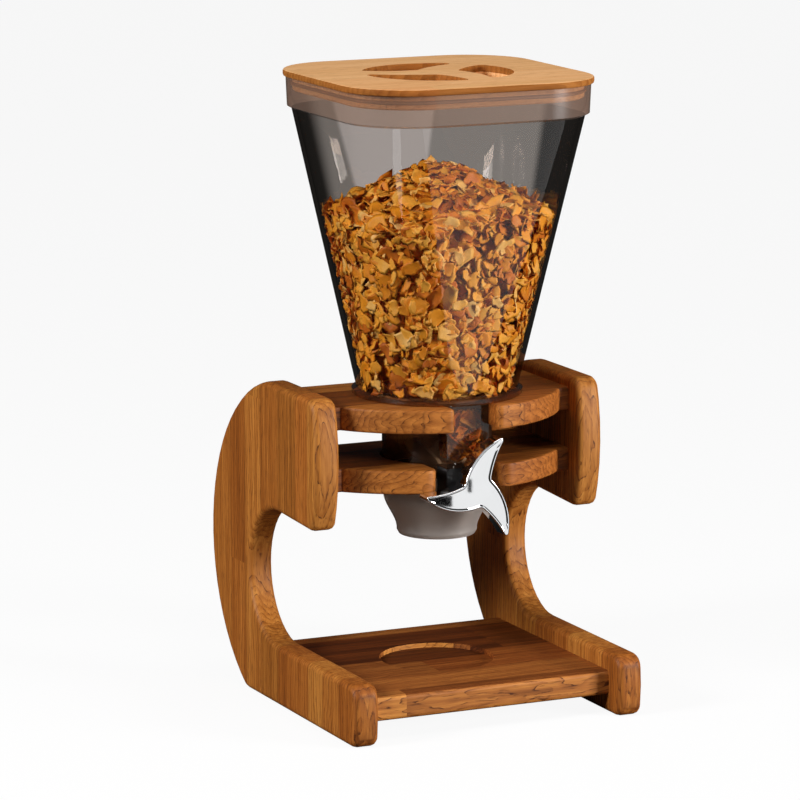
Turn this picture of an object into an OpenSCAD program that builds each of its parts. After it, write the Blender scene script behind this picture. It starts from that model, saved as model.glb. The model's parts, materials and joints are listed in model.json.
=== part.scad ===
// Gravity dispenser for dry food: a clear hopper on a wooden stand, with a
// paddle wheel in the outlet that a three-lobed knob turns.
// Millimetres. Z is up, the knob faces -Y, and the origin is on the floor,
// midway between the side panels and midway between their front and back.

/* [Stand] */
// Width over both side panels
stand_width = 200; // [190:1:230]
// Depth of the side panels
stand_depth = 228; // [222:1:240]
// Thickness of a side panel
panel_thickness = 17; // [14:0.5:20]
// Height of the side panels
panel_height = 207.5; // [200:0.5:215]
// Radius of the rounded back of a side panel
back_radius = 113; // [110:0.5:120]
// Height of the centre of the rounded back
back_centre_height = 97; // [92:1:102]
// Height of the foot in front of the C-shaped gap
foot_height = 39.5; // [36:0.5:42]
// Radius of the C-shaped gap
gap_radius = 43.4; // [40:0.2:45]
// Distance of the gap's centre behind the middle of the panel
gap_set_back = 8; // [0:1:12]
// Distance of the upper block's front in front of the middle of the panel
block_reach = 55.7; // [52:0.5:60]
// Radius of the bow on the block's front
block_bow_radius = 137; // [120:1:200]
// How much lower the block's underside is at its front than at the gap
block_drop = 2.5; // [0:0.5:4]
// Radius of the rounded-over edges of the panels
panel_edge = 4; // [1:0.5:5]

/* [Tray] */
// Height of the tray's top above the floor
tray_top = 27.8; // [24:0.1:32]
// Thickness of the tray
tray_thickness = 15.7; // [12:0.1:18]
// Distance of the tray's front behind the front of the feet
tray_set_back = 14.3; // [8:0.1:20]
// Depth of the tray from front to back
tray_depth = 161.5; // [150:0.5:166]
// Radius of the rounded-over front and back edges of the tray
tray_edge = 3; // [1:0.5:5]
// Radius of the round recess for a bowl
recess_radius = 36.8; // [30:0.2:45]
// Depth of the recess
recess_depth = 3; // [2:0.5:6]

/* [Shelves] */
// Thickness of both shelves
shelf_thickness = 15.4; // [12:0.1:17]
// Height of the upper shelf's top
upper_top = 200.7; // [196:0.1:204]
// Height of the lower shelf's top
lower_top = 161.3; // [160:0.1:163]
// Distance of both back edges behind the hopper's axis
shelf_back = 52.5; // [48:0.5:60]
// Reach of the upper shelf's bowed front from the hopper's axis
upper_reach = 61; // [58:0.5:64]
// Radius of the upper shelf's front
upper_bow_radius = 93.6; // [90:0.2:110]
// Reach of the lower shelf's bowed front from the hopper's axis
lower_reach = 53.5; // [51:0.5:54]
// Radius of the lower shelf's front
lower_bow_radius = 105; // [95:1:120]
// Distance of the shelves' ends at the panels in front of the axis
shelf_end_reach = 21; // [18:1:25]
// Radius of the rounded-over edges of the shelves
shelf_edge = 2; // [1:0.5:3]
// Width of the slot in the lower shelf
lower_slot = 44; // [40:1:56]
// Gap between a shelf's hole and what passes through it
shelf_clearance = 0.8; // [0.5:0.1:1.5]

/* [Dowels] */
// Radius of a dowel
dowel_radius = 4; // [3:0.5:5]
// Length of a dowel
dowel_length = 28; // [22:1:34]
// Depth of the dowel holes in the panels
dowel_hole_depth = 11; // [8:1:12]
// Distance from a shelf's dowels to its front and back edges
shelf_dowel_inset = 16; // [14:1:20]
// Distance from the tray's dowels to its front and back edges
tray_dowel_inset = 30; // [24:1:40]

/* [Hopper] */
// Distance of the hopper's axis in front of the middle of the panels
axis_forward = 20; // [16:1:24]
// Height of the hopper's rim
rim_height = 400; // [380:1:420]
// Half the width of the hopper under its collar
hopper_half = 79.4; // [74:0.2:81]
// Corner radius of the hopper under its collar
hopper_corner = 41; // [34:1:48]
// Half the width of the collar
collar_half = 83; // [78:0.2:84]
// Height of the collar
collar_height = 20; // [16:1:24]
// Radius of the hopper's body at its foot
body_foot_radius = 51.5; // [48:0.5:56]
// Radius of the foot ring that stands on the upper shelf
foot_ring_radius = 54.3; // [52:0.1:58]
// Height of the foot ring
foot_ring_height = 5; // [4:0.5:7]
// Wall of the hopper
hopper_wall = 2.6; // [2:0.1:3]
// Length of the spigot under the hopper that enters the chamber
spigot_length = 12; // [9:1:14]

/* [Lid] */
// Half the width of the lid
lid_half = 84.2; // [82:0.1:88]
// Corner radius of the lid
lid_corner = 44; // [40:1:50]
// Thickness of the lid's plate
lid_thickness = 4.3; // [4.1:0.1:7]
// Depth of the plug under the plate
plug_depth = 9; // [7:0.5:11]
// Gap between the lid's seal and the collar
seal_clearance = 0.3; // [0.2:0.05:0.5]
// How far the seal stands out of the plug
seal_reach = 1.4; // [1:0.1:2]
// Height of the seal
seal_height = 2.4; // [1.8:0.1:3]
// Radius of the circle that the finger pockets fill
pocket_circle = 48; // [44:0.5:52]
// Depth of the finger pockets under the lid's top
pocket_depth = 10; // [6:0.5:12]

/* [Chamber and outlet] */
// Outer radius of the chamber
chamber_radius = 35; // [34:0.1:36]
// Wall of the chamber
chamber_wall = 2.3; // [2:0.1:2.5]
// Width of the square boss at the chamber's front
boss_width = 29; // [26:0.5:31]
// Reach of the boss from the hopper's axis
boss_reach = 45; // [43:0.5:46]
// Height of the axle above the floor
axle_height = 148; // [147:0.5:149]
// Height of the outlet's rim
outlet_rim_height = 151.5; // [151:0.1:152]
// Height of the outlet's mouth
outlet_mouth_height = 110; // [106:0.5:114]
// Radius of the outlet's mouth
outlet_mouth_radius = 25.6; // [23:0.1:28]
// Wall of the outlet
outlet_wall = 2.2; // [1.8:0.1:2.6]
// Gap between the outlet and the chamber's spigot
outlet_clearance = 0.3; // [0.15:0.05:0.4]
// Thickness of the ring gasket on top of the chamber
gasket_thickness = 1.5; // [1:0.1:2]

/* [Bearings] */
// Half the height of the black bearing block
block_half_height = 12; // [11.5:0.1:12.5]
// Radial gap of the axle in its bearings
running_gap = 0.05; // [0.02:0.01:0.08]
// Outer radius of the rear bush
bush_radius = 6; // [5:0.2:7]

/* [Rotor] */
// Radius of the axle
axle_radius = 3; // [2.5:0.1:3.5]
// Radius of the hub
hub_radius = 6.5; // [5.5:0.1:7]
// Half the length of the hub
hub_half_length = 23.5; // [22:0.1:24]
// Number of vanes
vane_count = 5; // [4:1:6]
// Reach of the vanes from the rotor's centre
vane_reach = 29; // [27:0.2:29.5]
// Thickness of a vane
vane_thickness = 2; // [1.5:0.1:3]
// Radius of the sleeve that carries the vanes
sleeve_radius = 9; // [8.5:0.1:10]
// Radius of the pin through the hub
pin_radius = 1; // [0.8:0.1:1.2]

/* [Knob] */
// Distance of the knob's front face from the hopper's axis
knob_front = 62; // [61:0.5:64]
// Thickness of the knob's lobes
knob_thickness = 12; // [9:0.5:12]
// Radius from the knob's centre to its tips
knob_reach = 35; // [32:0.5:36]
// Width of the flat rim round the knob's dished face
knob_rim = 1; // [0.6:0.1:1.4]
// Depth of the knob's dished face, with a bevel as wide as it is deep
dish_depth = 0.9; // [0.4:0.1:1.2]
// Radius of the hub behind the lobes
knob_hub_radius = 9; // [8:0.2:10]
// Gap between the knob's hub and the bearing block
knob_gap = 0.4; // [0.3:0.1:0.6]
// Radius of the set screw
set_screw_radius = 1.5; // [1.2:0.1:1.6]

/* [Hidden] */
$fn = 64;

// inner width between the panels, and the panels' front
inner_half = stand_width/2 - panel_thickness;
front_y = -stand_depth/2;
axis_y = -axis_forward;
// bottom of the panel's upper block, level with the top of the C-shaped gap
block_bottom = foot_height + 2*gap_radius;
// angles at which the rounded back meets the panel's top and the floor; its curve is as
// tall as these ask, which at the real sizes makes it round
back_top_angle = 77.92;
back_floor_angle = 59.14;
back_top_corner = 24;
back_foot_corner = 10;
// corner radii of the panel's outline
block_top_corner = 9;
block_bottom_corner = 6;
foot_top_corner = 9;
foot_bottom_corner = 7;
// radius of the bow on the foot's front
foot_bow_radius = 150;
// hopper axis heights
foot_z = upper_top;
shoulder_z = rim_height - collar_height;
// radial sizes from the chamber inwards
chamber_inner = chamber_radius - chamber_wall;
spigot_clearance = 0.3;
spigot_wall = 2.5;
spigot_outer = chamber_inner - spigot_clearance;
spigot_inner = spigot_outer - spigot_wall;
// the chamber's lower spigot inside the outlet's rim
outlet_socket = chamber_radius - outlet_wall;
lower_spigot_outer = outlet_socket - outlet_clearance;
lower_spigot_inner = lower_spigot_outer - chamber_wall;
lower_spigot_bottom = axle_height - block_half_height;
chamber_top = foot_z - gasket_thickness;
// the boss's flat underside, on the bearing block
block_top = axle_height + block_half_height;
block_bottom_z = axle_height - block_half_height;
boss_wall = 2.4;
// inner nose of the bearing block, up to the hub
nose_radius = 7;
thrust_gap = 0.4;
// sizes of the rear bush and the boss that holds it
rear_boss_wall = 2.6;
rear_boss_radius = bush_radius + rear_boss_wall;
bush_front = hub_half_length + thrust_gap;
bush_set_in = 1.2;
bush_back = lower_spigot_outer - bush_set_in;
bush_end_wall = 1.5;
axle_end_gap = 0.3;
// depth of the axle's socket in the knob, behind its front face
knob_face = 4;
// the slot in the upper shelf lets the boss through
boss_clearance = 0.6;
upper_slot = boss_width + 2*boss_clearance;
upper_slot_corner = 3;
lower_slot_corner = 6;
hole_radius = chamber_radius + shelf_clearance;
// collar inside and the plug
collar_corner = hopper_corner + collar_half - hopper_half;
collar_inner = collar_half - hopper_wall;
plug_half = collar_inner - seal_clearance - seal_reach;
plug_corner = collar_corner - hopper_wall - seal_clearance - seal_reach;
seal_z = rim_height - plug_depth/2;
lid_edge = 1.2;
plug_chamfer = 0.8;
// the pin through the hub and the axle
pin_clearance = 0.02;
pin_half_length = sqrt(pow(hub_radius, 2) - pow(pin_radius, 2)) - 0.2;
// holes for the dowels: clearance round them and past their ends
dowel_clearance = 0.1;
dowel_end_gap = 0.3;
// knob lobes: an arc outside and a wider arc inside, which meet at the tip
lobe_scale = knob_reach/35;
lobe_outer_centre = [29, -5]*lobe_scale;
lobe_outer_radius = 40*lobe_scale;
lobe_inner_centre = [73, -3.3]*lobe_scale;
lobe_inner_radius = 65.5*lobe_scale;
lobe_tip_radius = 1.6;
dish_tip_radius = 0.9;
lobe_valley_radius = 3;
knob_edge = 0.6;
knob_back = knob_front - knob_thickness;
// finger pockets in the lid: between two arcs inside a circle
pocket_scale = pocket_circle/48;
pocket_outside_centre = [50, -38]*pocket_scale;
pocket_outside_radius = 77*pocket_scale;
pocket_inside_centre = [-2.7, 80]*pocket_scale;
pocket_inside_radius = 68*pocket_scale;

wood = "#A5683A";
lid_wood = "#D9A068";

// ---- outline helpers ----
function direction(a) = [cos(a), sin(a)];
function bearing(v) = atan2(v[1], v[0]);
function turned(p, a) = [p[0]*cos(a) - p[1]*sin(a), p[0]*sin(a) + p[1]*cos(a)];
// points on an arc from angle a to angle b
function arc(centre, r, a, b, n) = [for (i = [0:n]) centre + r*direction(a + (b - a)*i/n)];
// the same without its last point, for an arc that another one follows
function open_arc(centre, r, a, b, n) = [for (i = [0:n - 1]) centre + r*direction(a + (b - a)*i/n)];
// where two circles cross; side 1 is left of the line from the first centre to the second
function crossing(a, ra, b, rb, side) =
    let (d = norm(b - a), u = (b - a)/d, x = (d*d + ra*ra - rb*rb)/(2*d), h = sqrt(ra*ra - x*x))
    a + x*u + side*h*[-u[1], u[0]];
// one corner of an outline, rounded with radius p[2]; a corner with radius 0 stays a point
function corner(before, p, after, n) =
    p[2] == 0 ? [[p[0], p[1]]] :
    let (c = [p[0], p[1]],
         u = ([before[0], before[1]] - c)/norm([before[0], before[1]] - c),
         v = ([after[0], after[1]] - c)/norm([after[0], after[1]] - c),
         half = acos(u*v)/2,
         centre = c + (u + v)/norm(u + v)*p[2]/sin(half),
         start = bearing(c + u*p[2]/tan(half) - centre),
         sweep = bearing(turned(c + v*p[2]/tan(half) - centre, -start)))
    arc(centre, p[2], start, start + sweep, n);
function rounded(corners, n = 5) =
    let (last = len(corners) - 1)
    [for (i = [0:last])
        each corner(corners[i == 0 ? last : i - 1], corners[i], corners[i == last ? 0 : i + 1], n)];
// the anticlockwise outline moved inwards by d
function inset(path, d) =
    let (last = len(path) - 1)
    [for (i = [0:last])
        let (p = path[i],
             e = p - path[i == 0 ? last : i - 1],
             f = path[i == last ? 0 : i + 1] - p,
             m = [-e[1], e[0]]/norm(e),
             q = [-f[1], f[0]]/norm(f))
        p + d*(m + q)/(1 + m*q)];
// rounded square as a ring of points at height z; a corner as large as the half is a circle
function square_ring(half, r, z, n = 11) =
    [for (k = [0:3]) each
        [for (i = [0:n])
            let (p = turned([half - r, half - r], 90*k) + r*direction(90*k + 90*i/n))
            [p[0], p[1], z]]];

// a board from an anticlockwise outline, with rounded-over edges on both faces:
// a core with straight sides, and a rim round it
module rounded_board(path, thickness, edge, steps = 3) {
    rise = [for (k = [0:steps]) [edge*(1 - cos(90*k/steps)), edge*(1 - sin(90*k/steps))]];
    levels = concat(rise, [for (k = [steps:-1:0]) [thickness - rise[k][0], rise[k][1]]]);
    linear_extrude(thickness) polygon(inset(path, edge));
    ring_wall([for (level = levels) [for (p = inset(path, level[1])) [p[0], p[1], level[0]]]]);
}

// a closed wall through rings of equal length, from the last ring back to the first
module ring_wall(rings) {
    n = len(rings[0]);
    count = len(rings);
    faces = [for (k = [0:count - 1]) each
                [for (i = [0:n - 1])
                    [k*n + i, ((k + 1)%count)*n + i, ((k + 1)%count)*n + (i + 1)%n, k*n + (i + 1)%n]]];
    polyhedron([for (ring = rings) each ring], faces);
}

// a solid through rings of equal length, capped at both ends
module ring_stack(rings) {
    n = len(rings[0]);
    last = len(rings) - 1;
    sides = [for (k = [0:last - 1]) each
                [for (i = [0:n - 1]) [k*n + i, (k + 1)*n + i, (k + 1)*n + (i + 1)%n, k*n + (i + 1)%n]]];
    polyhedron([for (ring = rings) each ring],
               concat(sides, [[for (i = [0:n - 1]) i]], [[for (i = [n - 1:-1:0]) last*n + i]]));
}

// moves children to the hopper's axis
module on_axis() {
    translate([0, axis_y, 0]) children();
}

// a cylinder along Y between two distances from the hopper's axis, at the axle's height
module along_y(r, from, to) {
    translate([0, from, axle_height]) rotate([-90, 0, 0]) cylinder(r = r, h = to - from);
}

// ---- side panels ----
// the block's bowed front at height z
function block_front_y(z) =
    let (middle = (panel_height + block_bottom)/2)
    -block_reach + block_bow_radius - sqrt(pow(block_bow_radius, 2) - pow(z - middle, 2));
// the foot's slightly bowed front at height z
function foot_front_y(z) =
    front_y + foot_bow_radius - sqrt(pow(foot_bow_radius, 2) - pow(z - foot_height/2, 2));

// outline of the panel as seen from +X: first number along Y, second along Z
function panel_outline() =
    let (back_y = stand_depth/2 - back_radius,
         rise_up = (panel_height - back_centre_height)/sin(back_top_angle),
         rise_down = back_centre_height/sin(back_floor_angle),
         back_steps = 24,
         bow_steps = 6)
    rounded(concat(
        [for (i = [0:back_steps])
            let (a = -back_floor_angle + (back_top_angle + back_floor_angle)*i/back_steps)
            [back_y + back_radius*cos(a),
             back_centre_height + (a < 0 ? rise_down : rise_up)*sin(a),
             i == 0 ? back_foot_corner : i == back_steps ? back_top_corner : 0]],
        [for (i = [0:bow_steps])
            let (z = panel_height + (block_bottom - block_drop - panel_height)*i/bow_steps)
            [block_front_y(z), z, i == 0 ? block_top_corner : i == bow_steps ? block_bottom_corner : 0]],
        [for (p = arc([gap_set_back, foot_height + gap_radius], gap_radius, 90, -90, 20)) [p[0], p[1], 0]],
        [[foot_front_y(foot_height), foot_height, foot_top_corner]],
        [[foot_front_y(foot_height/2), foot_height/2, 0]],
        [[foot_front_y(0), 0, foot_bottom_corner]]));

// places children at both dowels of each board: [inner face x, y, z] for one side
module at_dowels(side, front, back, z) {
    for (y = [front, back]) translate([side*inner_half, y, z]) rotate([0, 90, 0]) children();
}

module tray_dowel_places(side) {
    at_dowels(side, front_y + tray_set_back + tray_dowel_inset,
              front_y + tray_set_back + tray_depth - tray_dowel_inset,
              tray_top - tray_thickness/2) children();
}

module shelf_dowel_places(side) {
    for (top = [upper_top, lower_top])
        at_dowels(side, axis_y - shelf_end_reach + shelf_dowel_inset,
                  axis_y + shelf_back - shelf_dowel_inset,
                  top - shelf_thickness/2) children();
}

module dowel_holes(side) {
    board_depth = dowel_length - dowel_hole_depth + dowel_end_gap;
    panel_depth = dowel_hole_depth + dowel_end_gap;
    low = side > 0 ? -board_depth : -panel_depth;
    tray_dowel_places(side) dowel_hole(low, board_depth + panel_depth);
    shelf_dowel_places(side) dowel_hole(low, board_depth + panel_depth);
}

module dowel_hole(low, depth) {
    translate([0, 0, low]) cylinder(r = dowel_radius + dowel_clearance, h = depth, $fn = 24);
}

module dowel(side) {
    low = side > 0 ? dowel_hole_depth - dowel_length : -dowel_hole_depth;
    translate([0, 0, low]) cylinder(r = dowel_radius, h = dowel_length, $fn = 24);
}

module side_panel_right() {
    color(wood) difference() {
        translate([inner_half, 0, 0]) rotate([90, 0, 90])
            rounded_board(panel_outline(), panel_thickness, panel_edge);
        dowel_holes(1);
    }
}

module side_panel_left() {
    mirror([1, 0, 0]) side_panel_right();
}

module tray_dowels() {
    color("#D8BE92") for (side = [-1, 1]) tray_dowel_places(side) dowel(side);
}

module shelf_dowels() {
    color("#D8BE92") for (side = [-1, 1]) shelf_dowel_places(side) dowel(side);
}

// ---- tray ----
module base_tray() {
    low = tray_top - tray_thickness;
    front = front_y + tray_set_back;
    section = rounded([[front, low, tray_edge], [front + tray_depth, low, tray_edge],
                       [front + tray_depth, tray_top, tray_edge], [front, tray_top, tray_edge]]);
    color(wood) difference() {
        translate([-inner_half, 0, 0]) rotate([90, 0, 90]) linear_extrude(2*inner_half) polygon(section);
        on_axis() translate([0, 0, tray_top - recess_depth])
            cylinder(r = recess_radius, h = recess_depth + 1);
        dowel_holes(-1);
        dowel_holes(1);
    }
}

// ---- shelves ----
// outline of a shelf round the hopper's axis, run on past the panels, with its slot and hole
function shelf_outline(reach, bow_radius, slot, slot_corner) =
    let (bow_centre = bow_radius - reach,
         side_x = sqrt(pow(bow_radius, 2) - pow(bow_centre + shelf_end_reach, 2)),
         start = asin(slot/2/bow_radius),
         first = asin((slot/2 + 1.7*slot_corner)/bow_radius),
         stop = asin(side_x/bow_radius),
         far = inner_half + 2*shelf_edge,
         mouth = asin(slot/2/hole_radius),
         steps = 8,
         angles = concat([start], [for (i = [0:steps]) first + (stop - first)*i/steps]),
         right = [for (a = angles)
                     [bow_radius*sin(a), bow_centre - bow_radius*cos(a), a == start ? slot_corner : 0]],
         left = [for (i = [len(right) - 1:-1:0]) [-right[i][0], right[i][1], right[i][2]]])
    rounded(concat(
        right,
        [[far, -shelf_end_reach, 0], [far, shelf_back, 0], [-far, shelf_back, 0],
         [-far, -shelf_end_reach, 0]],
        left,
        [for (p = arc([0, 0], hole_radius, 270 - mouth, -90 + mouth, 32)) [p[0], p[1], 0]]));

module shelf(top, reach, bow_radius, slot, slot_corner) {
    color(wood) difference() {
        intersection() {
            on_axis() translate([0, 0, top - shelf_thickness])
                rounded_board(shelf_outline(reach, bow_radius, slot, slot_corner),
                              shelf_thickness, shelf_edge, 2);
            translate([-inner_half, -stand_depth, 0]) cube([2*inner_half, 2*stand_depth, rim_height]);
        }
        dowel_holes(-1);
        dowel_holes(1);
    }
}

module upper_shelf() {
    shelf(upper_top, upper_reach, upper_bow_radius, upper_slot, upper_slot_corner);
}

module lower_shelf() {
    shelf(lower_top, lower_reach, lower_bow_radius, lower_slot, lower_slot_corner);
}

// ---- hopper ----
module hopper() {
    wall = hopper_wall;
    floor_z = foot_z + wall;
    taper_z = foot_z + foot_ring_height;
    taper = atan((hopper_half - body_foot_radius)/(shoulder_z - taper_z));
    foot_chamfer = 1;
    foot_slope = 1.5;
    collar_draft = 0.8;
    collar_step = 1.5;
    collar_floor = 3;
    floor_half = body_foot_radius - wall - 6;
    color([0.45, 0.44, 0.43, 0.45]) on_axis() ring_wall([
        square_ring(spigot_outer, spigot_outer, foot_z - spigot_length),
        square_ring(spigot_outer, spigot_outer, foot_z),
        square_ring(foot_ring_radius - foot_chamfer, foot_ring_radius - foot_chamfer, foot_z),
        square_ring(foot_ring_radius, foot_ring_radius, foot_z + foot_chamfer),
        square_ring(foot_ring_radius, foot_ring_radius, foot_z + foot_ring_height - foot_slope),
        square_ring(body_foot_radius, body_foot_radius, taper_z),
        square_ring(hopper_half, hopper_corner, shoulder_z),
        square_ring(collar_half - collar_draft, collar_corner - collar_draft, shoulder_z + collar_step),
        square_ring(collar_half, collar_corner, rim_height),
        square_ring(collar_inner, collar_corner - wall, rim_height),
        square_ring(collar_inner, collar_corner - wall, rim_height - plug_depth - collar_floor),
        square_ring(hopper_half - wall, hopper_corner - wall, shoulder_z),
        square_ring(body_foot_radius - wall/cos(taper), body_foot_radius - wall/cos(taper), taper_z + 1),
        square_ring(floor_half, floor_half, floor_z + 0.6),
        square_ring(spigot_inner + 1.5, spigot_inner + 1.5, floor_z),
        square_ring(spigot_inner, spigot_inner, floor_z - 1.5),
        square_ring(spigot_inner, spigot_inner, foot_z - spigot_length)]);
}

module hopper_gasket() {
    color("#D8D6CF") on_axis() translate([0, 0, chamber_top]) difference() {
        cylinder(r = chamber_radius, h = gasket_thickness);
        translate([0, 0, -1]) cylinder(r = spigot_outer + 0.1, h = gasket_thickness + 2);
    }
}

// ---- chamber ----
module boss_block(half, reach, low, high) {
    translate([-half, -reach, low]) cube([2*half, reach, high - low]);
}

module chamber() {
    step_z = outlet_rim_height + outlet_clearance;
    color([0.50, 0.46, 0.42, 0.45]) on_axis() difference() {
        union() {
            translate([0, 0, step_z]) cylinder(r = chamber_radius, h = chamber_top - step_z);
            translate([0, 0, lower_spigot_bottom])
                cylinder(r = lower_spigot_outer, h = step_z + 1 - lower_spigot_bottom);
            boss_block(boss_width/2, boss_reach, block_top, chamber_top);
        }
        translate([0, 0, step_z + 2]) cylinder(r = chamber_inner, h = chamber_top);
        difference() {
            translate([0, 0, lower_spigot_bottom - 1]) cylinder(r = lower_spigot_inner, h = 30);
            along_y(rear_boss_radius, bush_front + 1, chamber_radius);
        }
        boss_block(boss_width/2 - boss_wall, boss_reach - boss_wall, block_top + boss_wall,
                   chamber_top - boss_wall);
        difference() {
            boss_block(boss_width/2 + 0.2, boss_reach + 1, block_bottom_z - 1, block_top);
            translate([0, 0, block_bottom_z - 2]) cylinder(r = lower_spigot_inner - 1, h = 60);
        }
        along_y(bush_radius, bush_front - 1, bush_back);
    }
}

module front_bearing() {
    color("#1B1A1A") on_axis() difference() {
        union() {
            difference() {
                intersection() {
                    boss_block(boss_width/2, boss_reach, block_bottom_z, block_top);
                    translate([0, 0, axle_height]) rotate([90, 0, 0]) cylinder(r = boss_width/2 + 3, h = 99);
                }
                translate([0, 0, block_bottom_z - 1]) cylinder(r = lower_spigot_inner, h = 40);
            }
            along_y(nose_radius, -lower_spigot_inner - 2, -hub_half_length - thrust_gap);
        }
        along_y(axle_radius + running_gap, -boss_reach - 1, 0);
    }
}

module rear_bush() {
    color("#2B2A2A") on_axis() difference() {
        along_y(bush_radius, bush_front, bush_back);
        along_y(axle_radius + running_gap, bush_front - 1, bush_back - bush_end_wall);
    }
}

// ---- outlet ----
// radius of the outlet's outside at height z: a smooth step from the rim to the mouth
function outlet_radius(z) =
    let (high = lower_spigot_bottom, low = outlet_mouth_height + 3,
         t = min(1, max(0, (z - low)/(high - low))))
    outlet_mouth_radius + (chamber_radius - 0.8 - outlet_mouth_radius)*t*t*(3 - 2*t);

module outlet_cup() {
    seat_z = lower_spigot_bottom - outlet_clearance;
    steps = 12;
    heights = [for (i = [0:steps]) outlet_mouth_height + (seat_z - outlet_mouth_height)*i/steps];
    outside = [for (z = heights) [outlet_radius(z) - (z == outlet_mouth_height ? 1.2 : 0), z]];
    inside = [for (i = [steps:-1:0]) [outlet_radius(heights[i]) - outlet_wall - 0.7, heights[i]]];
    color([0.66, 0.63, 0.60, 0.8]) on_axis() difference() {
        rotate_extrude() polygon(concat(
            outside,
            [[chamber_radius, axle_height], [chamber_radius, outlet_rim_height],
             [outlet_socket, outlet_rim_height], [outlet_socket, seat_z]],
            inside));
        boss_block(boss_width/2 + 0.2, boss_reach, block_bottom_z - 0.2, outlet_rim_height + 1);
    }
}

// ---- rotor ----
// a cylinder across the axle, through its middle
module across_axle(r, half_length) {
    translate([0, 0, axle_height - half_length]) cylinder(r = r, h = 2*half_length, $fn = 24);
}

module axle() {
    color("#B9BBBD") on_axis() difference() {
        along_y(axle_radius, -knob_front + knob_face + axle_end_gap,
                bush_back - bush_end_wall - axle_end_gap);
        across_axle(pin_radius + pin_clearance, 2*axle_radius);
    }
}

module rotor_hub() {
    color("#E6E3DA") on_axis() difference() {
        along_y(hub_radius, -hub_half_length, hub_half_length);
        along_y(axle_radius + pin_clearance, -hub_half_length - 1, hub_half_length + 1);
        across_axle(pin_radius + pin_clearance, 2*hub_radius);
    }
}

module rotor_pin() {
    color("#9A9DA0") on_axis() across_axle(pin_radius, pin_half_length);
}

module rotor_vanes() {
    half = hub_half_length - 1;
    color("#D9D6CC") on_axis() difference() {
        union() {
            along_y(sleeve_radius, -half, half);
            for (k = [0:vane_count - 1])
                translate([0, 0, axle_height]) rotate([0, 90 - 360*k/vane_count, 0])
                    translate([0, 0, -vane_thickness/2]) linear_extrude(vane_thickness) intersection() {
                        circle(r = vane_reach);
                        translate([hub_radius + 1, -half]) square([vane_reach, 2*half]);
                    }
        }
        along_y(hub_radius, -half - 1, half + 1);
    }
}

// ---- knob ----
// outline of the knob seen from the front, anticlockwise, moved inwards by d: for each lobe
// the inner arc out to the tip, then the outer arc back to the valley before the next lobe
function knob_outline(d, tip_radius) =
    let (c1 = lobe_outer_centre, r1 = lobe_outer_radius - d,
         c2 = lobe_inner_centre, r2 = lobe_inner_radius + d,
         valley_radius = lobe_valley_radius + d,
         tip = crossing(c1, r1 - tip_radius, c2, r2 + tip_radius, 1),
         before = turned(c1, -120),
         valley = crossing(before, r1 + valley_radius, c2, r2 - valley_radius, 1),
         next_valley = turned(valley, 120),
         inner_start = bearing(valley - c2),
         inner_stop = bearing(tip - c2),
         outer_start = bearing(tip - c1),
         outer_stop = bearing(next_valley - c1),
         valley_start = bearing(before - valley),
         valley_stop = bearing(valley - c2))
    [for (k = [0:2]) each [for (p = concat(
        open_arc(valley, valley_radius, valley_start, valley_stop - 360, 4),
        open_arc(c2, r2, inner_start, inner_stop, 8),
        open_arc(tip, tip_radius, bearing(c2 - tip), outer_start, 5),
        open_arc(c1, r1, outer_start, outer_stop, 9))) turned(p, 120*k)]];

// what is cut out of the face: a core over the dish's floor, and a wall for its bevel
module knob_dish() {
    floor_path = knob_outline(knob_rim + dish_depth, dish_tip_radius);
    mouth_path = knob_outline(knob_rim, dish_tip_radius);
    translate([0, 0, knob_thickness]) {
        translate([0, 0, -dish_depth]) linear_extrude(dish_depth + 1) polygon(floor_path);
        ring_wall([for (ring = [[floor_path, -dish_depth], [mouth_path, 0], [mouth_path, 1], [floor_path, 1]])
                      [for (p = ring[0]) [p[0], p[1], ring[1]]]]);
    }
}

module knob() {
    hub_back = boss_reach + knob_gap;
    color("#E4E5E6") on_axis() difference() {
        union() {
            translate([0, -knob_back, axle_height]) rotate([90, 0, 0]) difference() {
                rounded_board(knob_outline(0, lobe_tip_radius), knob_thickness, knob_edge);
                knob_dish();
            }
            along_y(knob_hub_radius, -knob_back - 1, -hub_back);
        }
        along_y(axle_radius + pin_clearance, -knob_front + knob_face, -hub_back + 1);
        translate([0, -(knob_back + hub_back)/2, axle_height - knob_hub_radius - 1])
            cylinder(r = set_screw_radius, h = knob_hub_radius + 1, $fn = 24);
    }
}

module knob_set_screw() {
    color("#2A2B2D") on_axis()
        translate([0, -(knob_back + boss_reach + knob_gap)/2, axle_height - knob_hub_radius + 0.5])
            cylinder(r = set_screw_radius, h = knob_hub_radius - 0.5 - axle_radius, $fn = 24);
}

// ---- lid ----
module pocket() {
    offset(r = 4) offset(r = -4) offset(r = 1) offset(r = -1) intersection() {
        circle(r = pocket_circle, $fn = 96);
        difference() {
            translate(pocket_inside_centre) circle(r = pocket_inside_radius, $fn = 120);
            translate(pocket_outside_centre) circle(r = pocket_outside_radius, $fn = 120);
        }
    }
}

// the three pockets, from their floor to above the lid's top
module pockets() {
    for (k = [0:2]) rotate([0, 0, 120*k]) translate([0, 0, rim_height + lid_thickness - pocket_depth])
        linear_extrude(pocket_depth + 1) pocket();
}

module lid_plate() {
    outline = [for (p = square_ring(lid_half, lid_corner, 0)) [p[0], p[1]]];
    color(lid_wood) on_axis() difference() {
        translate([0, 0, rim_height]) rounded_board(outline, lid_thickness, lid_edge, 2);
        pockets();
    }
}

module lid_plug() {
    color(lid_wood) on_axis() difference() {
        ring_stack([
            square_ring(plug_half - plug_chamfer, plug_corner - plug_chamfer, rim_height - plug_depth),
            square_ring(plug_half, plug_corner, rim_height - plug_depth + plug_chamfer),
            square_ring(plug_half, plug_corner, rim_height)]);
        pockets();
    }
}

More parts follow.
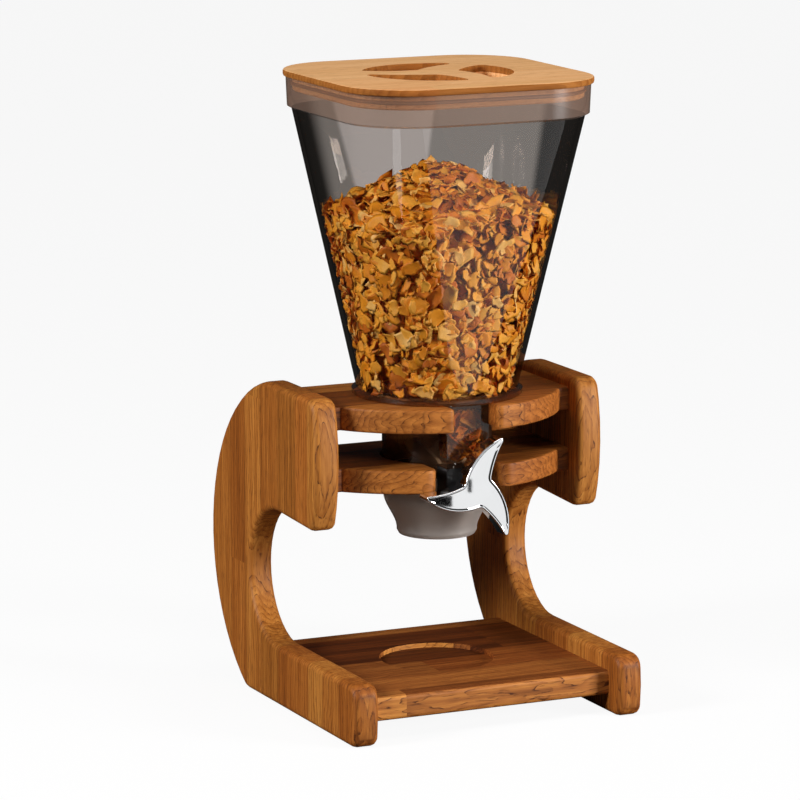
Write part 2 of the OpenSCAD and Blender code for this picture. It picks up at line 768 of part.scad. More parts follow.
module lid_seal() {
    color("#E8E6DF") on_axis() ring_wall([
        square_ring(plug_half, plug_corner, seal_z - seal_height/2),
        square_ring(plug_half + seal_reach, plug_corner + seal_reach, seal_z - seal_height/4),
        square_ring(plug_half + seal_reach, plug_corner + seal_reach, seal_z + seal_height/4),
        square_ring(plug_half, plug_corner, seal_z + seal_height/2)]);
}

side_panel_left();
side_panel_right();
base_tray();
upper_shelf();
lower_shelf();
tray_dowels();
shelf_dowels();
hopper();
hopper_gasket();
chamber();
outlet_cup();
front_bearing();
rear_bush();
axle();
rotor_hub();
rotor_pin();
rotor_vanes();
knob();
knob_set_screw();
lid_plate();
lid_plug();
lid_seal();
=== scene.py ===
import json
import math

import bpy
import numpy as np
from mathutils import Matrix, Vector


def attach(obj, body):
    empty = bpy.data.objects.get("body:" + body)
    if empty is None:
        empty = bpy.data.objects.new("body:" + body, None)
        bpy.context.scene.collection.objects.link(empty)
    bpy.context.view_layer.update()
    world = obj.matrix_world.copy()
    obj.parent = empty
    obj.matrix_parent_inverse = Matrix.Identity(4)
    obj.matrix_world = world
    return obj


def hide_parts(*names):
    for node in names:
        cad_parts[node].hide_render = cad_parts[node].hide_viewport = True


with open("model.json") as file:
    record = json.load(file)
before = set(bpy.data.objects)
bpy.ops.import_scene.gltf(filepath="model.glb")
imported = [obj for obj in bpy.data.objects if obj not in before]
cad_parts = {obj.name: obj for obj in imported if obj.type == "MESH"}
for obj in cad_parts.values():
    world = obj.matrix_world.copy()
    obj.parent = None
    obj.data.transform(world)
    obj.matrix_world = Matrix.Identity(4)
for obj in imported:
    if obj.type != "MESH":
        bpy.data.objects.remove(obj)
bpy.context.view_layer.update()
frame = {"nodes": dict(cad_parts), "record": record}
scene = bpy.context.scene
scene.view_settings.view_transform = "Standard"
print("frame loaded:", len(frame["nodes"]), "nodes")

bodyOf = {node: body for body, nodes in frame["record"]["behaviour"]["bodies"].items() for node in nodes}


# an sRGB hex colour as linear RGBA
def linear(hexColour):
    parts = [int(hexColour[i:i + 2], 16) / 255 for i in (1, 3, 5)]
    return [p / 12.92 if p <= 0.04045 else ((p + 0.055) / 1.055) ** 2.4 for p in parts] + [1.0]


# adds one node with its settings, by field name or by socket, and its links
def addNode(tree, kind, settings=None, links=None):
    node = tree.nodes.new(kind)
    for name, value in (settings or {}).items():
        if isinstance(name, str) and hasattr(node, name):
            setattr(node, name, value)
        else:
            node.inputs[name].default_value = value
    for name, source in (links or {}).items():
        tree.links.new(source, node.inputs[name])
    return node


# an empty material, its node tree and its output node
def newMaterial(name):
    material = bpy.data.materials.new(name)
    material.use_nodes = True
    tree = material.node_tree
    tree.nodes.clear()
    return material, tree, tree.nodes.new("ShaderNodeOutputMaterial")


# sets a colour ramp's stops
def setRamp(ramp, colours):
    elements = ramp.color_ramp.elements
    while len(elements) < len(colours):
        elements.new(0.5)
    for element, (at, colour) in zip(elements, colours):
        element.position = at
        element.color = linear(colour)


def pickOnly(piece):
    bpy.ops.object.select_all(action="DESELECT")
    piece.select_set(True)
    bpy.context.view_layer.objects.active = piece


def dress(piece, material):
    piece.data.materials.clear()
    piece.data.materials.append(material)


# a finished piece stands for a node: it rides on the node's body, and the node is hidden
def standFor(piece, node):
    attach(piece, bodyOf[node])
    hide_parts(node)


copyFinish = {"mergeWithin": 1e-5, "flatWithin": 0.2, "smoothBelow": 40}  # metres, degrees, degrees


# a merged, smoothly shaded copy of a node
def smoothCopy(node, name, material):
    piece = bpy.data.objects.new(name, frame["nodes"][node].data.copy())
    scene.collection.objects.link(piece)
    pickOnly(piece)
    bpy.ops.object.mode_set(mode="EDIT")
    bpy.ops.mesh.select_all(action="SELECT")
    bpy.ops.mesh.remove_doubles(threshold=copyFinish["mergeWithin"])
    bpy.ops.mesh.dissolve_limited(angle_limit=math.radians(copyFinish["flatWithin"]))
    bpy.ops.object.mode_set(mode="OBJECT")
    bpy.ops.mesh.customdata_custom_splitnormals_clear()
    bpy.ops.object.shade_smooth_by_angle(angle=math.radians(copyFinish["smoothBelow"]))
    weighted = piece.modifiers.new("faceWeight", "WEIGHTED_NORMAL")
    weighted.keep_sharp = True
    bpy.ops.object.modifier_apply(modifier="faceWeight")
    dress(piece, material)
    standFor(piece, node)
    return piece


# solid wood, glued from staves: straight stripes where the growth layers are cut across, and
# thin dark loops on the edges that they run along
def makeWood(name, wood):
    material, tree, output = newMaterial(name)
    place = addNode(tree, "ShaderNodeTexCoord").outputs["Object"]
    axes = addNode(tree, "ShaderNodeSeparateXYZ", links={0: place})
    along = axes.outputs[wood["along"]]
    across = axes.outputs[wood["across"]]
    through = axes.outputs[wood["through"]]

    # each stave has its own colour and its own part of the tree
    shifted = addNode(tree, "ShaderNodeMath", {"operation": "ADD", 1: wood["shift"]}, {0: across})
    stave, joint = [addNode(tree, "ShaderNodeTexVoronoi",
                            {"voronoi_dimensions": "1D", "feature": feature,
                             "Scale": 1 / wood["staveWidth"], "Randomness": wood["staveSpread"]},
                            {"W": shifted.outputs[0]}) for feature in ("F1", "DISTANCE_TO_EDGE")]
    chance = addNode(tree, "ShaderNodeSeparateColor", links={0: stave.outputs["Color"]})
    staggered = addNode(tree, "ShaderNodeMath", {"operation": "MULTIPLY", 1: wood["stagger"]},
                        {0: chance.outputs[0]})
    length = addNode(tree, "ShaderNodeMath", {"operation": "MULTIPLY_ADD", 1: 1 / wood["staveLength"]},
                     {0: along, 2: staggered.outputs[0]})
    block = addNode(tree, "ShaderNodeMath", {"operation": "FLOOR"}, {0: length.outputs[0]})
    blockAt = addNode(tree, "ShaderNodeCombineXYZ", links={0: block.outputs[0], 1: chance.outputs[1]})
    blockChance = addNode(tree, "ShaderNodeTexWhiteNoise", {"noise_dimensions": "3D"},
                          {"Vector": blockAt.outputs[0]})
    tone = addNode(tree, "ShaderNodeSeparateColor", links={0: blockChance.outputs["Color"]})

    moved = {}
    for i, source in enumerate((across, through, along)):
        moved[i] = addNode(tree, "ShaderNodeMath",
                           {"operation": "MULTIPLY_ADD", 1: wood["treeReach"][i]},
                           {0: tone.outputs[i], 2: source}).outputs[0]
    trunk = addNode(tree, "ShaderNodeCombineXYZ", links=moved).outputs[0]

    # noises drawn out along the grain: breaks in the growth lines, broad streaks, fibres and pores
    grain = {}
    for pattern, (perMetre, detail, roughness) in wood["grain"].items():
        drawnOut = addNode(tree, "ShaderNodeVectorMath", {"operation": "MULTIPLY", 1: perMetre},
                           {0: trunk})
        grain[pattern] = addNode(tree, "ShaderNodeTexNoise",
                                 {"Scale": 1.0, "Detail": detail, "Roughness": roughness},
                                 {"Vector": drawnOut.outputs[0]}).outputs[0]

    # growth layers: the distance across them is bent by slow noise, then cut into rings
    slow = addNode(tree, "ShaderNodeVectorMath",
                   {"operation": "MULTIPLY", 1: [1 / s for s in wood["bendSize"]]}, {0: trunk})
    bend = addNode(tree, "ShaderNodeTexNoise", {"Scale": 1.0, "Detail": 2.0, "Roughness": 0.45},
                   {"Vector": slow.outputs[0]})
    layers = addNode(tree, "ShaderNodeMath", {"operation": "MULTIPLY_ADD", 1: wood["bendReach"]},
                     {0: bend.outputs[0], 2: across})
    leaned = addNode(tree, "ShaderNodeMath", {"operation": "MULTIPLY_ADD", 1: wood["lean"]},
                     {0: through, 2: layers.outputs[0]})
    count = addNode(tree, "ShaderNodeMath", {"operation": "MULTIPLY", 1: 1 / wood["ringSpacing"]},
                    {0: leaned.outputs[0]})
    ring = addNode(tree, "ShaderNodeMath", {"operation": "FRACT"}, {0: count.outputs[0]})
    late = addNode(tree, "ShaderNodeMapRange",
                   {"interpolation_type": "SMOOTHSTEP", "From Min": wood["lateWood"][0],
                    "From Max": wood["lateWood"][1]}, {"Value": ring.outputs[0]})
    narrow = addNode(tree, "ShaderNodeMapRange",
                     {"interpolation_type": "SMOOTHSTEP", "From Min": wood["lineAt"][0],
                      "From Max": wood["lineAt"][1]}, {"Value": ring.outputs[0]})
    kept = addNode(tree, "ShaderNodeMapRange",
                   {"interpolation_type": "SMOOTHSTEP", "From Min": wood["lineKept"][0],
                    "From Max": wood["lineKept"][1], "To Max": wood["lineShare"]},
                   {"Value": grain["breaks"]})
    growthLine = addNode(tree, "ShaderNodeMath", {"operation": "MULTIPLY"},
                         {0: narrow.outputs[0], 1: kept.outputs[0]})
    openPore = addNode(tree, "ShaderNodeMapRange",
                       {"From Min": wood["poreOpen"][0], "From Max": wood["poreOpen"][1]},
                       {"Value": grain["pores"]})

    # how dark the wood is: the layers, the streaks, the fibres and the stave's own tone
    darkness = addNode(tree, "ShaderNodeMath", {"operation": "MULTIPLY", 1: wood["ringShare"]},
                       {0: late.outputs[0]})
    for share, source in (("streakShare", grain["streaks"]), ("fibreShare", grain["fibres"]),
                          ("staveShare", tone.outputs[0])):
        darkness = addNode(tree, "ShaderNodeMath", {"operation": "MULTIPLY_ADD", 1: wood[share]},
                           {0: source, 2: darkness.outputs[0]})
    ramp = addNode(tree, "ShaderNodeValToRGB", links={0: darkness.outputs[0]})
    setRamp(ramp, wood["colours"])

    # a redder stave here and there, growth lines, pores and glue lines
    red = addNode(tree, "ShaderNodeMapRange",
                  {"From Min": wood["redFrom"], "From Max": 1.0, "To Max": wood["redShare"]},
                  {"Value": tone.outputs[1]})
    colour = addNode(tree, "ShaderNodeMix",
                     {"data_type": "RGBA", "blend_type": "MULTIPLY", 7: linear(wood["red"])},
                     {0: red.outputs[0], 6: ramp.outputs[0]})
    poreShare = addNode(tree, "ShaderNodeMath", {"operation": "MULTIPLY", 1: wood["poreShare"]},
                        {0: openPore.outputs[0]})
    glueLine = addNode(tree, "ShaderNodeMapRange",
                       {"From Min": 0.0, "From Max": wood["glueWidth"] / wood["staveWidth"],
                        "To Min": wood["glueShare"], "To Max": 0.0},
                       {"Value": joint.outputs["Distance"]})
    for mark in (growthLine, poreShare, glueLine):
        colour = addNode(tree, "ShaderNodeMix", {"data_type": "RGBA", 7: linear(wood["pore"])},
                         {0: mark.outputs[0], 6: colour.outputs[2]})

    rough = addNode(tree, "ShaderNodeMapRange", {"To Min": wood["sheen"][0], "To Max": wood["sheen"][1]},
                    {"Value": grain["fibres"]})
    height = addNode(tree, "ShaderNodeMath", {"operation": "SUBTRACT"},
                     {0: grain["fibres"], 1: openPore.outputs[0]})
    bump = addNode(tree, "ShaderNodeBump", {"Strength": wood["bump"], "Distance": wood["bumpDepth"]},
                   {"Height": height.outputs[0]})
    skin = addNode(tree, "ShaderNodeBsdfPrincipled", {"Specular IOR Level": wood["gloss"]},
                   {"Base Color": colour.outputs[2], "Roughness": rough.outputs[0],
                    "Normal": bump.outputs[0]})
    tree.links.new(skin.outputs[0], output.inputs[0])
    return material


# oiled acacia of the side panels: upright staves 24 mm wide, growth rings 3 mm apart. Lengths are in
# metres, and a pattern's three numbers are its repeats per metre across, through and along the
# grain. Real fibres and pores are finer: here they are as coarse as they need to be to show.
darkWood = {
    "along": 2, "across": 1, "through": 0,  # axes that the grain, the staves and the thickness follow
    "shift": 0.304, "staveWidth": 0.024, "staveSpread": 0.75, "staveLength": 0.30, "stagger": 7.0,
    "treeReach": (0.9, 0.7, 1.3), "glueWidth": 0.0005, "glueShare": 0.45,
    "bendSize": (0.030, 0.012, 0.055), "bendReach": 0.016, "lean": 0.25, "ringSpacing": 0.0031,
    "lateWood": (0.35, 0.98), "lineAt": (0.84, 0.96), "lineKept": (0.42, 0.60), "lineShare": 0.85,
    "grain": {"breaks": ((420, 420, 150), 2.0, 0.6), "streaks": ((260, 260, 9), 3.0, 0.55),
              "fibres": ((1400, 1400, 60), 3.0, 0.65), "pores": ((900, 900, 110), 1.0, 0.5)},
    "streakShare": 0.60, "ringShare": 0.10, "fibreShare": 0.24, "staveShare": 0.20,
    "colours": [(0.22, "#D79A4A"), (0.42, "#BC7A34"), (0.62, "#9A5B20"), (0.88, "#61330F")],
    "red": "#E8A070", "redFrom": 0.3, "redShare": 0.28,
    "pore": "#4A230B", "poreOpen": (0.60, 0.74), "poreShare": 0.5,
    "sheen": (0.42, 0.62), "gloss": 0.2, "bump": 0.25, "bumpDepth": 0.00015,
}
# the shelves' staves lie from side to side and differ more from each other
boardWood = dict(darkWood, along=0, across=1, through=2, shift=0.211, staveWidth=0.036, lean=0.35,
                 bendSize=(0.030, 0.012, 0.040), bendReach=0.018, ringSpacing=0.0032, staveShare=0.34,
                 lineShare=0.9,
                 colours=[(0.22, "#D08E44"), (0.42, "#B6702F"), (0.64, "#8C4F1B"), (0.90, "#52290B")])
# sanded beech of the lid: pale and matt, with wide staves and hardly a growth line
paleWood = dict(darkWood, along=0, across=1, through=2, shift=0.119, staveWidth=0.052, staveSpread=0.3,
                staveLength=0.5, bendSize=(0.06, 0.03, 0.12), bendReach=0.009, lean=0.2,
                ringSpacing=0.0045, streakShare=0.45, ringShare=0.12, fibreShare=0.30,
                staveShare=0.12, lineShare=0.2,
                colours=[(0.20, "#F8CE98"), (0.42, "#F0BA82"), (0.65, "#DA9E60"), (0.90, "#AE7036")],
                red="#F2C2A0", redShare=0.35, pore="#85501F", poreShare=0.35, sheen=(0.62, 0.78),
                gloss=0.08)
# painted shade on the lid's rim and in its pockets: a darker, browner copy of the lid wood
lidShadedWood = dict(paleWood,
                  colours=[(0.20, "#B8793A"), (0.42, "#A0642C"), (0.65, "#7E4718"), (0.90, "#55290C")])
# the tray's staves are redder, and its top is darker as painted shade under the hopper and the shelves;
# its front edge is a paler copy as painted light
trayShadedStaves = dict(boardWood, shift=0.232, staveWidth=0.046, redShare=0.5, staveShare=0.40,
                  sheen=(0.50, 0.68), gloss=0.12,
                  colours=[(0.22, "#C07C3A"), (0.42, "#A0602A"), (0.64, "#7A4018"), (0.90, "#48220A")])
trayLitFront = dict(boardWood,
               colours=[(0.22, "#E8A254"), (0.42, "#D0883E"), (0.64, "#A8652C"), (0.90, "#6A3712")])

panelWood = makeWood("oiledAcaciaPanels", darkWood)
trayShadedWood = makeWood("shadedTrayTopAcacia", trayShadedStaves)
trayLitFrontWood = makeWood("litTrayFrontAcacia", trayLitFront)
shelfWood = makeWood("oiledAcaciaBoards", boardWood)
lidWood = makeWood("sandedBeechLid", paleWood)
lidShadedEdge = makeWood("beechLidPaintedShade", lidShadedWood)
print("wood made")


# the inside of the hopper: a circle at its foot, a square with rounded corners at its top
hopperAxis = (0.0, -0.020)
hopperInside = {
    "low": 0.2067, "high": 0.380,
    "lowHalf": 0.0488, "highHalf": 0.0768, "lowCorner": 0.0488, "highCorner": 0.0384,
}


# clear styrene with a smoky dye. What stands behind the near wall is seen almost undimmed. The far
# wall is looked through from inside: it is grey in the middle and, as tinted glass is at its edge,
# near black where it is seen edge on. The outer skin mirrors.
def makeSmokedPlastic(name, plastic):
    material, tree, output = newMaterial(name)
    farWall = addNode(tree, "ShaderNodeNewGeometry").outputs["Backfacing"]
    place = addNode(tree, "ShaderNodeTexCoord").outputs["Object"]
    fromAxis = addNode(tree, "ShaderNodeVectorMath",
                       {"operation": "ADD", 1: (-hopperAxis[0], -hopperAxis[1], 0)}, {0: place})
    level = addNode(tree, "ShaderNodeVectorMath", {"operation": "MULTIPLY", 1: (1, 1, 0)},
                    {0: fromAxis.outputs[0]})
    radial = addNode(tree, "ShaderNodeVectorMath", {"operation": "NORMALIZE"}, {0: level.outputs[0]})
    # glassy edge: 0 where the round of the hopper faces the eye, 1 where it is seen edge on
    edge = addNode(tree, "ShaderNodeLayerWeight", {"Blend": 0.5}, {"Normal": radial.outputs[0]})
    middle = addNode(tree, "ShaderNodeMapRange",
                     {"interpolation_type": "SMOOTHSTEP", "From Min": plastic["greyUntil"],
                      "From Max": plastic["darkFrom"], "To Min": 1.0, "To Max": 0.0},
                     {"Value": edge.outputs["Facing"]})
    # the four flats are moulded thinner than the rounded corners, and let more light through
    # where they are seen face on
    apart = addNode(tree, "ShaderNodeVectorMath", {"operation": "ABSOLUTE"}, {0: level.outputs[0]})
    sides = addNode(tree, "ShaderNodeSeparateXYZ", links={0: apart.outputs[0]})
    fromMiddle = addNode(tree, "ShaderNodeMath", {"operation": "MINIMUM"},
                         {0: sides.outputs[0], 1: sides.outputs[1]})
    height = addNode(tree, "ShaderNodeSeparateXYZ", links={0: place}).outputs[2]
    flatHalf = addNode(tree, "ShaderNodeMapRange",
                       {"From Min": hopperInside["low"], "From Max": hopperInside["high"],
                        "To Max": hopperInside["highHalf"] - hopperInside["highCorner"]},
                       {"Value": height})
    spare = addNode(tree, "ShaderNodeMath", {"operation": "SUBTRACT"},
                    {0: flatHalf.outputs[0], 1: fromMiddle.outputs[0]})
    flat = addNode(tree, "ShaderNodeMapRange",
                   {"interpolation_type": "SMOOTHSTEP", "From Min": plastic["flatFrom"][0],
                    "From Max": plastic["flatFrom"][1]}, {"Value": spare.outputs[0]})
    turned = addNode(tree, "ShaderNodeLayerWeight", {"Blend": 0.5})
    faceOn = addNode(tree, "ShaderNodeMapRange",
                     {"interpolation_type": "SMOOTHSTEP", "From Min": plastic["faceOnUntil"][0],
                      "From Max": plastic["faceOnUntil"][1], "To Min": 1.0, "To Max": 0.0},
                     {"Value": turned.outputs["Facing"]})
    thin = addNode(tree, "ShaderNodeMath", {"operation": "MULTIPLY"},
                   {0: flat.outputs[0], 1: faceOn.outputs[0]})
    wall = addNode(tree, "ShaderNodeMix",
                   {"data_type": "RGBA", 6: linear(plastic["far"]), 7: linear(plastic["flat"])},
                   {0: thin.outputs[0]})
    far = addNode(tree, "ShaderNodeMix", {"data_type": "RGBA", 6: linear(plastic["side"])},
                  {0: middle.outputs[0], 7: wall.outputs[2]})
    seen = addNode(tree, "ShaderNodeMix", {"data_type": "RGBA", 6: linear(plastic["near"])},
                   {0: farWall, 7: far.outputs[2]})
    # lamps shine in almost undimmed, so that the food inside is lit
    shadow = addNode(tree, "ShaderNodeLightPath").outputs["Is Shadow Ray"]
    passed = addNode(tree, "ShaderNodeMix", {"data_type": "RGBA", 7: linear(plastic["toLamps"])},
                     {0: shadow, 6: seen.outputs[2]})
    through = addNode(tree, "ShaderNodeBsdfTransparent", links={0: passed.outputs[2]})
    haze = addNode(tree, "ShaderNodeBsdfDiffuse", {"Color": linear(plastic["haze"])})
    body = addNode(tree, "ShaderNodeMixShader", {0: plastic["hazeShare"]},
                   {1: through.outputs[0], 2: haze.outputs[0]})
    skin = addNode(tree, "ShaderNodeBsdfPrincipled",
                   {"Base Color": (1, 1, 1, 1), "Metallic": 1.0, "Roughness": plastic["roughness"]})
    front = addNode(tree, "ShaderNodeMath", {"operation": "SUBTRACT", 0: 1.0}, {1: farWall})
    fresnel = addNode(tree, "ShaderNodeFresnel", {"IOR": plastic["ior"]})
    mirrored = addNode(tree, "ShaderNodeMath", {"operation": "MULTIPLY"},
                       {0: fresnel.outputs[0], 1: front.outputs[0]})
    whole = addNode(tree, "ShaderNodeMixShader",
                    links={0: mirrored.outputs[0], 1: body.outputs[0], 2: skin.outputs[0]})
    tree.links.new(whole.outputs[0], output.inputs["Surface"])
    return material


# a plain moulded or machined finish: fine grain in its roughness, a faint bump a fifth of the grain
# deep and two close colours in soft clouds. Grain and cloud are sizes in metres.
def makePlain(name, finish):
    material, tree, output = newMaterial(name)
    place = addNode(tree, "ShaderNodeTexCoord").outputs["Object"]
    grain = addNode(tree, "ShaderNodeTexNoise",
                    {"Scale": 1 / finish["grain"], "Detail": 3.0, "Roughness": 0.6}, {"Vector": place})
    cloud = addNode(tree, "ShaderNodeTexNoise", {"Scale": 1 / finish["cloud"], "Detail": 2.0},
                    {"Vector": place})
    colour = addNode(tree, "ShaderNodeMix",
                     {"data_type": "RGBA", 6: linear(finish["colour"]), 7: linear(finish["second"])},
                     {0: cloud.outputs[0]})
    rough = addNode(tree, "ShaderNodeMapRange",
                    {"To Min": finish["rough"][0], "To Max": finish["rough"][1]},
                    {"Value": grain.outputs[0]})
    bump = addNode(tree, "ShaderNodeBump",
                   {"Strength": finish["bump"], "Distance": finish["grain"] * 0.2},
                   {"Height": grain.outputs[0]})
    skin = addNode(tree, "ShaderNodeBsdfPrincipled",
                   {"Metallic": finish.get("metallic", 0.0), "IOR": finish.get("ior", 1.5),
                    "Transmission Weight": finish.get("transmission", 0.0)},
                   {"Base Color": colour.outputs[2], "Roughness": rough.outputs[0],
                    "Normal": bump.outputs[0]})
    tree.links.new(skin.outputs[0], output.inputs[0])
    return material


# near and far are what the near and the far wall let through, flat is the far wall's thin part and
# side its edge
smokedSkin = {
    "near": "#F7F4F1", "far": "#7C7773", "flat": "#ACA5A2", "side": "#201E1C", "toLamps": "#F8F5F2",
    "greyUntil": 0.40, "darkFrom": 0.54, "flatFrom": (-0.0005, 0.0035), "faceOnUntil": (0.25, 0.45),
    "haze": "#8A817B", "hazeShare": 0.0, "roughness": 0.02, "ior": 1.42,
}
smokedPlastic = makeSmokedPlastic("smokedStyrene", smokedSkin)
# the wall's inner face takes nothing from what is seen through it, so that the tint counts once
smokedLining = makeSmokedPlastic("smokedStyreneLining", dict(
    smokedSkin, near="#FFFFFF", far="#FFFFFF", flat="#FFFFFF", side="#FFFFFF"))
# the collar and the foot ring have a fine matt grain, which makes them milky
smokedCollar = makeSmokedPlastic("mattSmokedStyrene", dict(
    smokedSkin, near="#E4D3C6", far="#B5A69B", flat="#B5A69B", side="#7A6C64",
    haze="#94796A", hazeShare=0.36, roughness=0.25))
# the foot ring's brown tints are painted shade where the hopper stands on the shelf
shadedFootPlastic = makeSmokedPlastic("smokedStyreneFootPaintedShade", dict(
    smokedSkin, near="#D9B79A", far="#7A5236", flat="#7A5236", side="#2A1509",
    haze="#6A4630", hazeShare=0.12, roughness=0.1))
# the chamber is clear; its dark brown tints are painted shade between the shelves, and stand in for the
# brown of what it holds and reflects
shadedChamberPlastic = makeSmokedPlastic("clearChamberStyrenePaintedShade", dict(
    smokedSkin, near="#D2AC8C", far="#2E1D12", flat="#2E1D12", side="#060403", greyUntil=0.2,
    darkFrom=0.7, haze="#A87858", hazeShare=0.08, roughness=0.05))
# frosted moulding: milky, and light comes through it
frostedPlastic = makePlain("frostedOutletPlastic",
                           {"colour": "#C4BBB4", "second": "#B3A9A2", "grain": 0.0007, "cloud": 0.02,
                            "rough": (0.38, 0.55), "bump": 0.1, "ior": 1.49, "transmission": 0.6})
# moulded acetal: a satin black
blackPlastic = makePlain("blackAcetal",
                         {"colour": "#161515", "second": "#1E1C1B", "grain": 0.0006, "cloud": 0.01,
                          "rough": (0.30, 0.45), "bump": 0.12})
# moulded nylon: a satin off-white
hubPlastic = makePlain("whiteNylonHub",
                       {"colour": "#E6E3DA", "second": "#DAD5C8", "grain": 0.0006, "cloud": 0.01,
                        "rough": (0.35, 0.5), "bump": 0.1})
# brown silicone of the seals: matt, and seen through the milky collar
sealRubber = makePlain("brownSilicone",
                       {"colour": "#A8774E", "second": "#9A6A42", "grain": 0.0008, "cloud": 0.012,
                        "rough": (0.55, 0.7), "bump": 0.15})
# soft silicone of the vanes: matt
siliconeRubber = makePlain("softSilicone",
                           {"colour": "#D9D6CC", "second": "#CBC6B8", "grain": 0.0008, "cloud": 0.012,
                            "rough": (0.55, 0.7), "bump": 0.15})
# ground stainless steel: a grey, blurred mirror
groundSteel = makePlain("groundStainlessSteel",
                        {"colour": "#B9BBBD", "second": "#A6A8AA", "grain": 0.0004, "cloud": 0.01,
                         "rough": (0.22, 0.34), "bump": 0.08, "metallic": 1.0})
# polished chrome: a nearly perfect mirror
polishedChrome = makePlain("polishedChrome",
                           {"colour": "#EDEEEF", "second": "#E4E5E6", "grain": 0.002, "cloud": 0.02,
                            "rough": (0.04, 0.07), "bump": 0.01, "metallic": 1.0})
# turned beech: pale and matt
dowelWood = makePlain("beechDowel",
                      {"colour": "#D8BE92", "second": "#C7A777", "grain": 0.0005, "cloud": 0.006,
                       "rough": (0.5, 0.65), "bump": 0.2})
print("plastics and metals made")

# what shows is replaced by a merged and smooth copy
copies = {}
for node, name, material in (
        ("side_panel_left", "panelLeft", panelWood), ("side_panel_right", "panelRight", panelWood),
        ("base_tray", "tray", trayShadedWood), ("upper_shelf", "shelfUpper", shelfWood),
        ("lower_shelf", "shelfLower", shelfWood), ("lid_plate", "lidPlate", lidWood),
        ("lid_plug", "lidPlug", lidWood), ("hopper", "hopperBody", smokedPlastic),
        ("chamber", "chamberBody", shadedChamberPlastic), ("outlet_cup", "outletCup", frostedPlastic),
        ("front_bearing", "bearingBlock", blackPlastic), ("knob", "knobSwirl", polishedChrome)):
    copies[name] = smoothCopy(node, name, material)


# gives a hollow plastic piece's inner faces the lining, and returns its outer faces
def lineInside(piece, lining):
    piece.data.materials.append(lining)
    outer = []
    for face in piece.data.polygons:
        away = face.center.xy - Vector(hopperAxis)
        if face.normal.xy.dot(away) < 0:
            face.material_index = 1
        else:
            outer.append(face)
    return outer


# where one piece has a second finish, or a darker or paler copy of its finish as painted shade and
# painted light: heights in metres, and parts of the faces' normals
finishChange = {"collarAbove": 0.3800, "footBelow": 0.2060, "litFrontFacing": -0.5,
                "lidFlatFrom": 0.6, "pocketDepth": 0.002}
lineInside(copies["chamberBody"], smokedLining)
hopperSkin = lineInside(copies["hopperBody"], smokedLining)
copies["hopperBody"].data.materials.append(smokedCollar)
copies["hopperBody"].data.materials.append(shadedFootPlastic)
for face in hopperSkin:
    if face.center.z > finishChange["collarAbove"]:
        face.material_index = 2
    elif face.center.z < finishChange["footBelow"]:
        face.material_index = 3

# the tray's front faces take the paler copy: painted light
copies["tray"].data.materials.append(trayLitFrontWood)
for face in copies["tray"].data.polygons:
    if face.normal.y < finishChange["litFrontFacing"]:
        face.material_index = 1

# the lid's sides and pocket floors take the darker copy: painted shade
lidTop = max(v.co.z for v in frame["nodes"]["lid_plate"].data.vertices)
copies["lidPlate"].data.materials.append(lidShadedEdge)
for face in copies["lidPlate"].data.polygons:
    if (face.normal.z < finishChange["lidFlatFrom"]
            or face.center.z < lidTop - finishChange["pocketDepth"]):
        face.material_index = 1

# what is hidden or plain keeps its CAD shape
for node, material in (("tray_dowels", dowelWood), ("shelf_dowels", dowelWood),
                       ("hopper_gasket", sealRubber), ("rear_bush", blackPlastic),
                       ("axle", groundSteel), ("rotor_hub", hubPlastic), ("rotor_pin", groundSteel),
                       ("rotor_vanes", siliconeRubber), ("knob_set_screw", groundSteel),
                       ("lid_seal", sealRubber)):
    dress(frame["nodes"][node], material)
print("nodes dressed")

# what the hopper holds: corn flakes, and a core behind them in the darkest flake colour, as painted
# shade deep in the heap. Lengths and heights are in metres, and a flake's size is half its width.
cereal = {
    "seed": 7, "kinds": 18, "size": (0.0040, 0.0098), "sizeBias": 1.4,
    "thickness": 0.0003, "thickAt": 0.0065, "stretch": (0.5, 0.95),
    "outlineWaves": ((0.13, 2), (0.10, 3), (0.12, 5)),  # share of the radius, waves round the rim
    "curl": 0.26, "curlSpread": (0.5, 1.3), "fold": 0.35, "twist": 0.25, "crinkle": (0.09, 4.2, 3.6),
    "peak": 0.351, "slope": 0.47, "wallGap": 0.0005, "pushIn": 1.15,
    "searchReach": 0.13, "halvings": 18,
    "wallFlakes": 2500, "wallTop": 0.335, "wallBias": 0.85, "wallDepth": 0.0012, "wallLayer": 0.012,
    "depthBias": 1.3, "wallLean": -0.15, "wallTilt": 0.20, "deepTilt": 20,
    "topFlakes": 650, "topReach": 0.078, "topFromWall": 0.003, "topDepth": 0.001, "topLayer": 0.005,
    "topLean": 0.42, "topTilt": 0.33,
    "throatFlakes": 160, "throatReach": (0.008, 0.0215), "throatHeight": (0.187, 0.206),
    "throatLean": 0.6, "looseTilt": 0.5,
    "bossFlakes": 60, "bossSpread": 0.5, "bossLean": 0.3,
    "bossSpaces": [((-0.0115, -0.0620, 0.1632), (0.0115, -0.0536, 0.1960)),
                   ((-0.0115, -0.0536, 0.1632), (0.0115, -0.0455, 0.1875))],
    "coreLow": 0.200, "coreShoulder": 0.318, "coreInset": 0.0105, "coreUnder": 0.0065,
    "coreSegments": 48, "coreRings": 24, "coreFoot": -0.98,
    "tone": (1.6, 1.5), "rimTone": (-0.35, 0.2), "coreShadeTone": 0.05,
    "colours": [(0.0, "#93430A"), (0.25, "#CC700F"), (0.5, "#EC991E"), (0.75, "#F3B244"),
                (1.0, "#F7CE84")],
    "toneShare": 0.8, "toastShare": 0.3, "toastPerMetre": 130.0, "blistersPerMetre": 420.0,
    "rough": (0.42, 0.7), "gloss": 0.35, "bump": 0.6, "bumpDepth": 0.0006,
}
hopperMiddle = np.array([hopperAxis[0], hopperAxis[1], 0.0])


